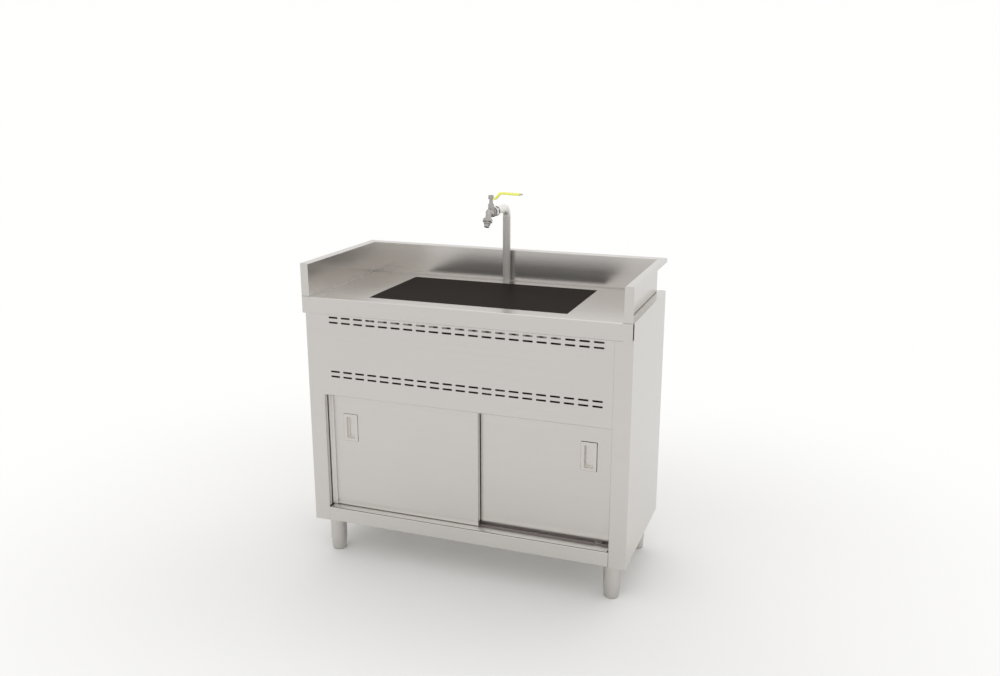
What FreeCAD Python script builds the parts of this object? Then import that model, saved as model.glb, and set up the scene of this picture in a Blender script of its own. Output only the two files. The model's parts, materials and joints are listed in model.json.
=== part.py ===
import FreeCAD, Part
import math
import os

V = FreeCAD.Vector
X, Y, Z = V(1, 0, 0), V(0, 1, 0), V(0, 0, 1)

# Laboratory sink unit: a sheet-steel base cupboard on four adjustable legs, with a worktop that
# has upstands on three sides, a covered sink bowl, a lever tap and two sliding doors.
# Millimetres. The origin is on the floor, in the middle of the footprint; +X right, +Y back, +Z up.

# ---------------------------------------------------------------- driving dimensions
width = 1000.0                # worktop and cabinet
depth = 455.0                 # apron face to back
worktop_height = 840.0        # floor to working surface
upstand_height = 100.0        # above the working surface
upstand_inset = 25.0          # skin to outer edge: width of the top flange
lip_drop = 13.0               # turned-down edge of the top flange
apron_height = 50.0
apron_hem = 11.0              # return at the apron's lower edge
top_sheet = 1.5               # worktop steel
body_sheet = 1.2              # cabinet steel
bend = 1.5                    # inside radius of the folds
front_setback = 15.0          # apron face to cabinet face
cabinet_bottom = 118.0        # floor to underside of the cabinet

column_width = 52.0           # folded front edge of each side panel
column_depth = 15.0           # its return into the cupboard
panel_return = 20.0           # rear and bottom returns of the side panels
top_rest = 35.0               # inward flange that carries the worktop
back_rest = 29.0              # the same flange on the back panel
apron_relief = 12.0           # notch in the column behind the apron's open end
relief_rise = 2.0             # apron's lower edge to the notch

vent_drop = 306.0             # working surface to the slotted panel's lower edge
vent_flange = 20.0
slot_length = 29.5
slot_height = 5.5
slot_corner = 1.4
slot_pitch = 40.6
slot_margin = 27.0            # end of a row to the column, at least
slot_rows = (61.6, 77.0, 229.2, 244.6)    # row centres below the working surface

rail_height = 45.0            # front rail below the doors
sill_depth = 29.0             # flat sill behind the rail
track_recess = 10.0           # sill to cupboard floor
floor_upturn = 20.0
service_width = 180.0         # pipe opening in the back panel
service_height = 190.0
service_drop = 190.0          # working surface to the opening's top edge
service_corner = 20.0

cover_side = 196.5            # side of the unit to the flush lift-out cover over the bowl
cover_back = 74.0             # its rear edge to the back
cover_front = 54.0            # apron face to its front edge
cover_thickness = 8.0
cover_corner = 3.0
cover_gap = 0.8               # joint around the cover
pad_thickness = 1.5
pad_diameter = 10.0
ledge_width = 14.0            # step that carries the cover
bowl_depth = 200.0
bowl_corner = 30.0
bowl_bottom_radius = 25.0
bowl_sheet = 1.2
bowl_rim = 12.0               # flange welded under the ledge
dish_radius = 90.0            # shallow dish around the waste
dish_depth = 8.0
waste_back = 30.0             # waste centre behind the bowl's centre
stiffener_width = 60.0        # channel under the worktop
stiffener_height = 25.0
stiffener_brim = 15.0
skirt_lead = 7.5              # skirt behind the slots, ahead of the cover's front edge
skirt_drop = 77.0             # working surface to the skirt's lower edge

waste_hole_radius = 45.0
waste_flange_radius = 55.0
waste_cup_radius = 43.0
waste_cup_depth = 32.0
waste_wall = 1.5
spigot_radius = 19.0
spigot_length = 42.0
strainer_drop = 4.0           # dish to the underside of the strainer plate
strainer_thickness = 2.0
strainer_hole = 4.0
strainer_rings = ((14.0, 6), (29.0, 12))      # pitch radius and number of holes
screw_radius = 2.5
screw_head_radius = 6.0
screw_head_height = 2.0
screw_length = 20.0
gasket_thickness = 3.0
backnut_height = 12.0
backnut_radius = 53.0
backnut_lugs = 8
lug_width = 8.0
lug_reach = 4.0

trap_wall = 2.5
spigot_gap = 1.0              # end of the waste's spigot to its seat in the trap
spigot_socket = 8.0           # depth of the trap's inlet socket
neck_wall = 3.0
neck_step = 4.0
bottle_radius = 33.0
bottle_height = 95.0
dip_lift = 8.0                # end of the dip pipe above the bottle's lower edge
outlet_drop = 26.0            # outlet axis below the bottle's top
socket_length = 26.0
cup_height = 42.0
cup_overlap = 12.0            # screwed length
cup_chamfer = 10.0
cup_ribs = 12
cup_rib_width = 4.0
cup_rib_height = 1.5
trap_nut_wall = 7.0
trap_nut_height = 15.0
waste_pipe_radius = 20.0
pipe_wall = 2.0
pipe_insertion = 21.0         # waste pipe inside the trap's outlet socket
pipe_tail = 45.0              # waste pipe beyond its stop ring
stop_ring = 2.0               # height of the ring
stop_ring_width = 4.0

door_y = (45.0, 66.0)         # door faces behind the apron face: front lane, rear lane
door_thickness = 16.0
door_sheet = 1.0
door_overlap = 82.6           # width that both closed doors cover
door_lap = 10.0               # height of door behind the slotted panel
door_rise = (1.0, 7.0)        # bottom edge above the sill: front door, rear door
door_edge_radius = 1.5
door_pocket = 20.0            # depth of the pocket behind each column
jamb_gap = 0.3                # closed door to its stop
bumper_thickness = 1.8
bumper_radius = 5.0
roller_radius = 11.0
roller_width = 5.0
roller_inset = 60.0           # roller centre from the door's end
roller_chamfer = 1.0
axle_radius = 2.0
axle_clearance = 0.05
rolling_gap = 0.3
cheek_clearance = 0.7
cheek_length = 16.0
cheek_below = 3.0             # axle centre to the cheeks' lower ends
roller_slot_gap = 2.0         # roller to the ends of its slot in the door
bracket_reach = 9.0           # base plate beyond the slot
bracket_brim = 1.1            # base plate beyond the cheeks
web_gap = 1.0                 # roller to the bracket's web
guide_length = 34.0
guide_width = 15.0
guide_height = 14.0
guide_corner = 4.0
track_sheet = 1.2
track_rib = 8.5               # lower track rib above its floor
upper_rib = 15.5
upper_gap = 2.5               # door's top edge to the upper track's ribs
middle_rib_lead = 3.1         # rib between the lanes, ahead of the rear door's face
lower_rib_lag = 0.6           # rear ribs behind the rear door's back
upper_rib_lag = 1.4
front_rib_lead = 1.6          # first upper rib ahead of the front door's face
jamb_margin = 4.0             # rear lane to the jamb's corner
jamb_flange = 14.0            # jamb's flange on the back of the column

handle_width = 47.0
handle_height = 87.0
handle_proud = 2.0
handle_corner = 2.5
handle_edge = (88.0, 93.7)    # handle centre from the outer edge: front door, rear door
handle_drop = 118.0           # handle centre from the door's top edge
cup_border = 10.0
cup_border_bottom = 8.0
cup_depth = 11.0
cup_wall = 1.0
cup_corner = 3.0
cup_bevel = 2.0               # around the cup's bottom
handle_bevel = 0.6            # around the plate's face

leg_radius = 25.4
leg_wall = 1.5
leg_inset = 50.5              # leg centre from the cabinet's sides
leg_front = 53.0              # from the cabinet's face
leg_back = 55.0               # from the back
leg_plate = 84.0
leg_plate_corner = 6.0
plate_thickness = 3.0
gusset = 95.0
foot_height = 36.0
foot_top_radius = 24.0
foot_bottom_radius = 22.0
foot_rim = 6.0                # straight collar at the foot's top
foot_round = 4.0              # around the foot's lower edge
foot_stud_radius = 8.0
stud_chamfer = 1.0
foot_travel = 25.0
stud_hold = 13.0              # stud left in the leg when the foot is screwed right out
stud_clearance = 0.05
insert_height = 30.0
part_gap = 0.3                # between pieces that move past each other

riser_radius = 12.0           # tube that carries the tap
riser_wall = 2.0
riser_inset = 47.0            # riser axis to the back of the unit
tap_reach = 138.0             # riser axis to the tap's stem axis
tap_height = 237.5            # tap's axis above the working surface
riser_bend = 26.0
riser_below = 48.0            # length below the working surface
riser_hole_clearance = 1.0
locknut_height = 9.0
locknut_flats = 30.0
washer_radius = 17.0
washer_thickness = 2.5
coupling_start = 12.0         # coupling nut behind the stem axis
coupling_length = 24.5
coupling_flats = 27.0
coupling_bevel = 2.0
riser_insertion = 14.0        # tube inside the coupling nut
waterway_radius = 6.5
ball_radius = 9.0
stem_radius = 4.0
stem_clearance = 0.05
stem_above = 7.0              # stem's end above the lever
barrel_radius = 12.5
barrel_lead = 11.0            # centre of the barrel's dome, in front of the stem axis
body_radius = 14.5            # ring around the valve's seat
body_ring = 8.0               # its length behind the stem axis
neck_radius = 11.0            # body between the ring and the coupling nut
arm_radius = 8.5
boss_radius = 9.0
boss_height = 14.8            # top of the stem boss above the tap's axis
gland_radius = 6.0
gland_flats = 15.5
gland_hex = 10.4
gland_cone = 4.0
gland_collar = 5.4            # radius of the ring under the lever
lever_over_axis = 40.5        # tap's axis to the underside of the lever
lever_eye = 8.5
lever_bend = 16.0             # stem axis to the foot of the crank
lever_crank = 30.5            # stem axis to the head of the crank
lever_droop = 2.0
lever_nut_flats = 14.0
lever_nut_height = 8.0
lever_rise = 17.0
lever_length = 98.0
lever_width = 13.0
lever_sheet = 3.0
grip_wall = 1.6
grip_round = 2.4
grip_bend = 5.0
grip_lead = 5.0               # sleeve on the flat part before the crank
grip_tip = 6.0                # bare metal at the lever's tip
outlet_bend = 10.0
outlet_turn = 64.0            # degrees from horizontal
outlet_corner = 19.0          # where the outlet turns down, in front of the stem axis
outlet_reach = 16.1           # from there to its shoulder
union_radius = 14.5
union_length = 11.0
union_bevel = 1.8
union_seat = 4.0              # thickness of the union nut's lower wall
union_gap = 1.0               # outlet's shoulder to the union nut
union_grooves = 8
union_groove_radius = 3.0
union_groove_depth = 1.4
nozzle_wall = 1.9
nozzle_neck = 7.2
nozzle_head = 8.3             # collar inside the union nut
nozzle_ring = 10.4
nozzle_ring_length = 4.0
nozzle_barb = 9.2
nozzle_barb_length = 3.0
nozzle_root = 8.2
nozzle_tail = 7.7
nozzle_length = 15.0          # below the union nut
supply_radius = 10.65         # half-inch pipe
supply_wall = 2.6
supply_drop = 240.0           # working surface to the supply pipe's exit at the back
supply_bend = 30.0
sleeve_flats = 28.0           # pipe coupling under the worktop
sleeve_length = 32.0

# ---------------------------------------------------------------- places that follow
right, left = width / 2, -width / 2
front, back = -depth / 2, depth / 2
face = front + front_setback                      # cabinet face
top_height = worktop_height + upstand_height
skin_x = right - upstand_inset                    # outer side of the side upstands
skin_y = back - upstand_inset
under_top = worktop_height - top_sheet
sill = cabinet_bottom + rail_height
cabinet_floor = sill - track_recess
jamb_x = right - column_width                     # sides of the doorway
stop_x = jamb_x + door_pocket                     # sides that the doors close against
slot_space = 2 * (jamb_x - slot_margin) - slot_length
slot_count = int(slot_space / slot_pitch) + 1
vent_bottom = worktop_height - vent_drop
service_bottom = worktop_height - service_drop - service_height
cover_width = width - 2 * cover_side
cover_depth = depth - cover_front - cover_back
ledge_top = worktop_height - cover_thickness - pad_thickness
ledge_under = ledge_top - top_sheet
cover_centre_y = front + cover_front + cover_depth / 2
bowl_x = cover_width / 2 - ledge_width
bowl_y = cover_depth / 2 - ledge_width
bowl_floor = ledge_under - bowl_depth
stiffener_x = (bowl_x + bowl_rim + right - top_rest) / 2
waste_y = cover_centre_y + waste_back
waste_level = bowl_floor - dish_depth             # flat ring that the waste seats on
riser_y = back - riser_inset
stem_y = riser_y - tap_reach
tap_z = worktop_height + tap_height
supply_z = worktop_height - supply_drop
track_floor = cabinet_floor + track_sheet
axle_z = track_floor + rolling_gap + roller_radius
door_bottom = (sill + door_rise[0], sill + door_rise[1])
door_top = vent_bottom + door_lap
door_end = stop_x - bumper_thickness - jamb_gap   # outer edge of a closed door
door_width = door_end + door_overlap / 2
handle_centre = door_top - handle_drop
lane_y = [front + y + door_thickness / 2 for y in door_y]
cheek_span = roller_width / 2 + cheek_clearance + track_sheet   # lane to a cheek's outside
axle_slot_half = roller_radius + roller_slot_gap
upper_web = door_top + upper_gap + upper_rib
gasket_low = waste_level - bowl_sheet - gasket_thickness
spigot_end = waste_level - waste_cup_depth - spigot_length
bottle_top = spigot_end - spigot_gap
bottle_low = bottle_top - bottle_height
outlet_z = bottle_top - outlet_drop
socket_end = waste_y + bottle_radius - trap_wall + socket_length
leg_plate_low = cabinet_bottom + body_sheet
leg_plate_top = leg_plate_low + plate_thickness
foot_stud_length = foot_travel + stud_hold
riser_end = coupling_start + coupling_length - riser_insertion      # behind the stem axis
lever_z = tap_z + lever_over_axis

pieces = {}


# ---------------------------------------------------------------- shared shapes
def block(x0, x1, y0, y1, z0, z1):
    return Part.makeBox(x1 - x0, y1 - y0, z1 - z0, V(x0, y0, z0))


def rod(start, direction, radius, length):
    return Part.makeCylinder(radius, length, start, direction)


def ring(start, direction, outer, inner, length):
    return rod(start, direction, outer, length).cut(rod(start, direction, inner, length))


def hexagon(start, direction, across_flats, length):
    """A hexagonal bar with a flat square to +X, or to +Z when it lies down."""
    radius = across_flats / math.sqrt(3)
    placement = FreeCAD.Placement(start, FreeCAD.Rotation(Z, direction))
    corners = [V(radius * math.cos(math.radians(a)), radius * math.sin(math.radians(a)), 0)
               for a in range(30, 391, 60)]
    bar = Part.Face(Part.makePolygon(corners)).extrude(Z * length)
    bar.Placement = placement
    return bar


def joined(shapes):
    shapes = list(shapes)
    return shapes[0].fuse(shapes[1:]).removeSplitter() if len(shapes) > 1 else shapes[0]


def mirrored(shape):
    return shape.mirror(V(0, 0, 0), X)


def both_sides(shape):
    return [mirrored(shape), shape]


def along(shape, axis):
    """The straight edges of a shape that run along an axis."""
    return [e for e in shape.Edges
            if isinstance(e.Curve, Part.Line) and abs(abs(e.tangentAt(0).dot(axis)) - 1) < 1e-6]


def rounded_block(x0, x1, y0, y1, z0, z1, radius, axis=Z):
    solid = block(x0, x1, y0, y1, z0, z1)
    return solid.makeFillet(radius, along(solid, axis))


def folded(path, normal, thickness, extent, inside=bend):
    """A sheet bent along an open path. The metal lies on the side normal x direction."""
    start = path[0]
    outer, inner = [], []
    shift = normal.cross((path[1] - path[0]).normalize()) * thickness
    inner_start = start + shift
    first, inner_first = start, inner_start
    for before, corner, after in zip(path, path[1:], path[2:]):
        a, b = (before - corner).normalize(), (after - corner).normalize()
        middle = (a + b).normalize()
        half = a.getAngle(b) / 2
        towards = middle.dot(normal.cross(a * -1)) > 0
        near = inside + thickness if towards else inside
        far = inside if towards else inside + thickness
        centre = corner + middle * (near / math.sin(half))
        foot = [corner + a * (near / math.tan(half)), centre - middle * near,
                corner + b * (near / math.tan(half))]
        scaled = [centre + (p - centre) * (far / near) for p in foot]
        outer += [Part.LineSegment(start, foot[0]).toShape(), Part.Arc(*foot).toShape()]
        inner += [Part.LineSegment(inner_start, scaled[0]).toShape(), Part.Arc(*scaled).toShape()]
        start, inner_start = foot[2], scaled[2]
    shift = normal.cross((path[-1] - path[-2]).normalize()) * thickness
    outer.append(Part.LineSegment(start, path[-1]).toShape())
    inner.append(Part.LineSegment(inner_start, path[-1] + shift).toShape())
    ends = [Part.LineSegment(first, inner_first).toShape(),
            Part.LineSegment(path[-1], path[-1] + shift).toShape()]
    wire = Part.Wire(Part.__sortEdges__(outer + inner + ends))
    return Part.Face(wire).extrude(extent)


def turned(points, axis_start, axis, angle=360):
    """A solid of revolution. Points are (radius, height) along the axis."""
    side = X if abs(axis.dot(X)) < 0.5 else Y
    corners = [axis_start + side * r + axis * h for r, h in points]
    return Part.Face(Part.makePolygon(corners + corners[:1])).revolve(axis_start, axis, angle)


def bent_bar(points, bends, section):
    """A bar of any section along straight runs joined by tangent arcs."""
    edges, start = [], points[0]
    for before, corner, after, size in zip(points, points[1:], points[2:], bends):
        a, b = (before - corner).normalize(), (after - corner).normalize()
        half = a.getAngle(b) / 2
        middle = (a + b).normalize()
        centre = corner + middle * (size / math.sin(half))
        run = size / math.tan(half)
        edges.append(Part.LineSegment(start, corner + a * run).toShape())
        edges.append(Part.Arc(corner + a * run, centre - middle * size, corner + b * run).toShape())
        start = corner + b * run
    edges.append(Part.LineSegment(start, points[-1]).toShape())
    return Part.Wire(edges).makePipeShell([section], True, False)


def bent_rod(points, bends, radius):
    circle = Part.makeCircle(radius, points[0], (points[1] - points[0]).normalize())
    return bent_bar(points, bends, Part.Wire(circle))


def comb(ribs, web, tips, sheet, x0, x1):
    """A track section: upright ribs at the given places on one flat web."""
    web_side = sheet if tips > web else -sheet
    low, high = sorted((web, web + web_side))
    parts = [block(x0, x1, ribs[0], ribs[-1] + sheet, low, high)]
    low, high = sorted((web, tips))
    parts += [block(x0, x1, y, y + sheet, low, high) for y in ribs]
    return joined(parts)


# ---------------------------------------------------------------- worktop
def worktop():
    """One tray with upstands on three sides, mitred at the corners, and a stepped opening."""
    top, level = top_height, worktop_height
    side = folded([V(left, 0, top - lip_drop), V(left, 0, top), V(-skin_x, 0, top),
                   V(-skin_x, 0, level), V(skin_x, 0, level), V(skin_x, 0, top),
                   V(right, 0, top), V(right, 0, top - lip_drop)],
                  Y, top_sheet, Y * depth).translated(V(0, front, 0))
    rear = folded([V(left, front + apron_hem, level - apron_height),
                   V(left, front, level - apron_height), V(left, front, level),
                   V(left, skin_y, level), V(left, skin_y, top),
                   V(left, back, top), V(left, back, top - lip_drop)],
                  X * -1, top_sheet, X * width)
    reach = depth / 2
    mitre = Part.Face(Part.makePolygon([V(left, back, 0), V(right, back, 0),
                                        V(right - reach, back - reach, 0),
                                        V(left + reach, back - reach, 0), V(left, back, 0)]))
    wedge = mitre.extrude(Z * (top + 1))
    apron_zone = block(-skin_x, skin_x, front, front + apron_hem + bend,
                       level - apron_height, level)
    tray = joined([side.cut(wedge).cut(apron_zone), rear.common(wedge),
                   rear.common(apron_zone)])
    cap = joined([block(skin_x, right, front, front + top_sheet, level - apron_height,
                        top - top_sheet),
                  block(skin_x, right, front, face, under_top, level),
                  block(skin_x, right, front, front + apron_hem, level - apron_height,
                        level - apron_height + top_sheet)])
    tray = joined([tray] + both_sides(cap))
    half_x, half_y = cover_width / 2 + cover_gap, cover_depth / 2 + cover_gap
    step = opening_block(half_x + top_sheet, half_y + top_sheet, ledge_under, level,
                         cover_corner + top_sheet)
    well = opening_block(half_x, half_y, ledge_top, level, cover_corner)
    drop = opening_block(bowl_x, bowl_y, ledge_under, level, bowl_corner)
    tray = tray.cut(well).fuse(step.cut(well).cut(drop)).removeSplitter()
    hole = rod(V(0, riser_y, under_top - 1), Z, riser_radius + riser_hole_clearance, 5 * top_sheet)
    return tray.cut(hole)


def opening_block(half_x, half_y, low, high, radius):
    return rounded_block(-half_x, half_x, cover_centre_y - half_y, cover_centre_y + half_y,
                         low, high, radius)


def stiffeners():
    """Hat channels under the worktop, one each side of the bowl."""
    half, brim = stiffener_width / 2, stiffener_brim
    low = under_top - stiffener_height
    y0 = face + vent_flange + part_gap
    hat = folded([V(-half - brim, y0, under_top), V(-half, y0, under_top), V(-half, y0, low),
                  V(half, y0, low), V(half, y0, under_top), V(half + brim, y0, under_top)],
                 Y, body_sheet, Y * (back - back_rest - part_gap - y0))
    return both_sides(hat.translated(V(stiffener_x, 0, 0)))


def bowl_skirt():
    """Sheet that hangs between the slots and the bowl."""
    y0, y1 = face + vent_flange + part_gap, front + cover_front - skirt_lead
    half = cover_width / 2
    return folded([V(-half, y0, under_top), V(-half, y1, under_top),
                   V(-half, y1, worktop_height - skirt_drop)],
                  X * -1, body_sheet, X * cover_width)


def sink_cover():
    return opening_block(cover_width / 2, cover_depth / 2, worktop_height - cover_thickness,
                         worktop_height, cover_corner)


def cover_pads():
    """Buffers on the ledge, under the corners of the cover."""
    x, y = (cover_width - ledge_width) / 2, (cover_depth - ledge_width) / 2 - bowl_corner
    return [rod(V(sx * x, cover_centre_y + sy * y, ledge_top), Z, pad_diameter / 2,
                pad_thickness - part_gap) for sx in (-1, 1) for sy in (-1, 1)]


# ---------------------------------------------------------------- sink and waste
def bowl_form(grow):
    """The bowl's inside, or its outside when grown by the sheet."""
    box = opening_block(bowl_x + grow, bowl_y + grow, bowl_floor - grow, ledge_under,
                        bowl_corner + grow)
    bottom = [e for e in box.Edges if abs(e.BoundBox.ZMax - box.BoundBox.ZMin) < 1e-6]
    box = box.makeFillet(bowl_bottom_radius + grow, bottom)
    cone = Part.makeCone(waste_flange_radius + 3 + grow, dish_radius + grow, dish_depth,
                         V(0, waste_y, waste_level - grow), Z)
    return box.fuse(cone)


def sink_bowl():
    shell = bowl_form(bowl_sheet).cut(bowl_form(0))
    rim = opening_block(bowl_x + bowl_rim, bowl_y + bowl_rim, ledge_under - bowl_sheet,
                        ledge_under, bowl_corner + bowl_rim)
    rim = rim.cut(opening_block(bowl_x, bowl_y, ledge_under - bowl_sheet, ledge_under, bowl_corner))
    hole = rod(V(0, waste_y, waste_level - 3 * bowl_sheet), Z, waste_hole_radius, 6 * bowl_sheet)
    return joined([shell, rim]).cut(hole)


def waste_fitting():
    """Flanged cup through the bowl, with a threaded spigot below."""
    base = V(0, waste_y, waste_level)
    cup, wall, spigot = waste_cup_radius, waste_wall, spigot_radius
    deep = -waste_cup_depth
    points = [(waste_flange_radius, 0), (waste_flange_radius, wall), (cup - wall, wall),
              (cup - wall, deep + wall), (spigot - wall, deep + wall),
              (spigot - wall, deep - spigot_length), (spigot, deep - spigot_length),
              (spigot, deep), (cup, deep), (cup, 0)]
    return turned(points, base, Z)


def strainer():
    """Perforated plate on a shoulder of the cup, and the screw that holds it."""
    centre = V(0, waste_y, waste_level - strainer_drop)
    plate = rod(centre, Z, waste_cup_radius - waste_wall, strainer_thickness)
    holes = [rod(centre, Z, screw_radius, strainer_thickness)]
    for radius, count in strainer_rings:
        for i in range(count):
            angle = 2 * math.pi * i / count
            place = centre + V(math.cos(angle), math.sin(angle), 0) * radius
            holes.append(rod(place, Z, strainer_hole, strainer_thickness))
    head = rod(centre + Z * strainer_thickness, Z, screw_head_radius, screw_head_height)
    shank = rod(centre - Z * (screw_length - strainer_thickness), Z, screw_radius, screw_length)
    return [plate.cut(Part.makeCompound(holes)), joined([head, shank])]


def waste_gasket():
    return ring(V(0, waste_y, gasket_low), Z, waste_flange_radius, waste_cup_radius,
                gasket_thickness)


def waste_backnut():
    """Ring nut with gripping lugs."""
    base = V(0, waste_y, gasket_low - backnut_height)
    nut = [rod(base, Z, backnut_radius, backnut_height)]
    for i in range(backnut_lugs):
        lug = block(waste_cup_radius, backnut_radius + lug_reach, -lug_width / 2, lug_width / 2,
                    0, backnut_height - waste_wall)
        lug.rotate(V(0, 0, 0), Z, 360 * i / backnut_lugs)
        nut.append(lug.translated(base))
    return joined(nut).cut(rod(base, Z, waste_cup_radius, backnut_height))


def trap_body():
    """Bottle trap: the dip pipe hangs inside, the outlet socket points back."""
    r, wall, dip = bottle_radius, trap_wall, spigot_radius - trap_wall
    neck, rim = spigot_radius + neck_wall, bottle_top + spigot_socket
    roof = bottle_top - 2 * neck_step
    points = [(dip, rim), (neck, rim), (neck, bottle_top - neck_step), (r, roof), (r, bottle_low),
              (r - wall, bottle_low), (r - wall, roof - wall), (spigot_radius, roof - wall),
              (spigot_radius, bottle_low + dip_lift), (dip, bottle_low + dip_lift)]
    shell = turned(points, V(0, waste_y, 0), Z)
    start = V(0, socket_end - socket_length, outlet_z)
    socket = rod(start, Y, waste_pipe_radius + wall, socket_length)
    inside = rod(V(0, waste_y, bottle_low), Z, r - wall, bottle_height)
    body = shell.fuse(socket.cut(inside))
    body = body.cut(rod(start - Y * 2 * wall, Y, waste_pipe_radius - pipe_wall, socket_length))
    body = body.cut(rod(V(0, socket_end, outlet_z), Y * -1, waste_pipe_radius, pipe_insertion))
    body = body.cut(rod(V(0, waste_y, spigot_end), Z, spigot_radius, rim - spigot_end))
    return body.removeSplitter()


def trap_cup():
    """Screw-off cup with a ribbed grip."""
    r, wall, low, top = bottle_radius, trap_wall, bottle_low - cup_height, bottle_low + cup_overlap
    points = [(0, low), (r - cup_chamfer, low), (r + wall, low + cup_chamfer), (r + wall, top),
              (r, top), (r, bottle_low), (r - wall, bottle_low), (r - wall, low + cup_chamfer + wall),
              (r - cup_chamfer - wall, low + wall), (0, low + wall)]
    cup = [turned(points, V(0, waste_y, 0), Z)]
    for i in range(cup_ribs):
        rib = block(r + wall / 2, r + wall + cup_rib_height, -cup_rib_width / 2, cup_rib_width / 2,
                    bottle_low - cup_overlap, top - wall)
        rib.rotate(V(0, 0, 0), Z, 360 * i / cup_ribs)
        cup.append(rib.translated(V(0, waste_y, 0)))
    return joined(cup)


def trap_nuts():
    """Union nuts of the trap's inlet and outlet."""
    nuts = []
    for start, axis, radius in ((V(0, waste_y, bottle_top + spigot_socket), Z, spigot_radius),
                                (V(0, socket_end, outlet_z), Y, waste_pipe_radius)):
        nut = hexagon(start, axis, 2 * (radius + trap_nut_wall), trap_nut_height)
        nuts.append(nut.cut(rod(start, axis, radius, trap_nut_height)))
    return nuts


def waste_pipe():
    """Pipe out through the back, with the ring that stops the drain's socket."""
    start = V(0, socket_end - pipe_insertion, outlet_z)
    stop = V(0, back - pipe_tail - stop_ring_width, outlet_z)
    pipe = joined([rod(start, Y, waste_pipe_radius, back - start.y),
                   rod(stop, Y, waste_pipe_radius + stop_ring, stop_ring_width)])
    return pipe.cut(rod(start, Y, waste_pipe_radius - pipe_wall, back - start.y))


# ---------------------------------------------------------------- cabinet
def side_panel():
    """Right-hand side: panel, front column with its return, rear return and flanges."""
    low, flange_top = cabinet_bottom, under_top - body_sheet
    panel = folded([V(jamb_x, face + column_depth, low), V(jamb_x, face, low),
                    V(right, face, low), V(right, back, low), V(right - panel_return, back, low)],
                   Z, body_sheet, Z * (under_top - low))
    rest = block(right - top_rest, right - body_sheet, face + body_sheet, back - back_rest,
                 flange_top, under_top)
    tongue = block(right - 2 * body_sheet - bend, right - body_sheet, back - back_rest,
                   back - body_sheet, flange_top, under_top)
    foot = block(right - panel_return, right - body_sheet, face + body_sheet, back - body_sheet,
                 low, low + body_sheet)
    notch = block(jamb_x - 1, jamb_x + 2 * bend + body_sheet, face + body_sheet + bend,
                  face + column_depth + 1, low - 1, leg_plate_top + plate_thickness + 1)
    relief = block(right - apron_relief, right + 1, face - 1, face + body_sheet + bend,
                   worktop_height - apron_height + relief_rise, worktop_height)
    return joined([panel, rest, tongue, foot]).cut(notch).cut(relief)


def back_panel():
    """Rear sheet with a flange under the worktop and a service opening."""
    y1 = back - body_sheet
    half = right - 2 * body_sheet - bend
    low = cabinet_bottom + body_sheet
    sheet = folded([V(-half, y1, low), V(-half, y1, under_top),
                    V(-half, y1 - back_rest + body_sheet, under_top)],
                   X, body_sheet, X * 2 * half)
    opening = rounded_block(-service_width / 2, service_width / 2, y1 - body_sheet,
                            back + body_sheet, service_bottom, service_bottom + service_height,
                            service_corner, Y)
    return sheet.cut(opening)


def base_pan():
    """Front rail, sill, track recess and cupboard floor folded from one sheet."""
    y_sill = face + sill_depth
    y_back = back - 3 * body_sheet
    half = right - body_sheet
    pan = folded([V(-half, face + panel_return, cabinet_bottom), V(-half, face, cabinet_bottom),
                  V(-half, face, sill), V(-half, y_sill, sill), V(-half, y_sill, cabinet_floor),
                  V(-half, y_back, cabinet_floor), V(-half, y_back, cabinet_floor + floor_upturn)],
                 X * -1, body_sheet, X * 2 * half, 0.8)
    column = block(jamb_x, right, front, face + column_depth, 0, sill + 1)
    pocket = block(stop_x, right, front, y_sill + body_sheet + bend, 0, sill + 1)
    corner = column.fuse(pocket)
    return pan.cut(corner).cut(mirrored(corner))


def vent_panel():
    """Slotted panel between the columns, folded back over the doors' upper track."""
    half = jamb_x
    y_track = front + door_y[0] - front_rib_lead
    panel = folded([V(-half, face + vent_flange, under_top), V(-half, face, under_top),
                    V(-half, face, vent_bottom), V(-half, y_track, vent_bottom),
                    V(-half, y_track, upper_web + track_sheet)],
                   X, body_sheet, X * 2 * half)
    slots = []
    slot = block(-slot_length / 2, slot_length / 2, face - 1, face + 2 * body_sheet,
                 -slot_height / 2, slot_height / 2)
    slot = slot.makeChamfer(slot_corner, along(slot, Y))
    first = -slot_pitch * (slot_count - 1) / 2
    for drop in slot_rows:
        for i in range(slot_count):
            x = first + i * slot_pitch
            z = worktop_height - drop
            slots.append(slot.translated(V(x, 0, z)))
    return panel.cut(Part.makeCompound(slots))


def door_track_lower():
    ribs = [front + door_y[0], front + door_y[1] - middle_rib_lead,
            front + door_y[1] + door_thickness + lower_rib_lag]
    return comb(ribs, cabinet_floor, track_floor + track_rib, track_sheet, -stop_x, stop_x)


def door_track_upper():
    ribs = [front + door_y[0] - front_rib_lead, front + door_y[1] - middle_rib_lead,
            front + door_y[1] + door_thickness + upper_rib_lag]
    return comb(ribs, upper_web + track_sheet, upper_web - upper_rib, track_sheet, -stop_x, stop_x)


def door_jambs():
    """Sheet behind each column that stops the doors and closes the cupboard's side pocket."""
    y0, y1 = face + body_sheet, front + door_y[1] + door_thickness + jamb_margin
    low = cabinet_floor
    angle = folded([V(stop_x + jamb_flange, y0, low), V(stop_x, y0, low), V(stop_x, y1, low),
                    V(right - body_sheet, y1, low)],
                   Z * -1, body_sheet, Z * (upper_web - low))
    return both_sides(angle)


def door_bumpers():
    """Rubber stops for both lanes, on both jambs, at half the doors' height."""
    stops = []
    for y in lane_y:
        stop = rod(V(stop_x - bumper_thickness, y, (sill + door_top) / 2), X, bumper_radius,
                   bumper_thickness)
        stops += both_sides(stop)
    return stops


def leg_places():
    for side_name, sign in (("left", -1), ("right", 1)):
        yield "front_" + side_name, V(sign * (right - leg_inset), face + leg_front, 0)
        yield "rear_" + side_name, V(sign * (right - leg_inset), back - leg_back, 0)


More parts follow.
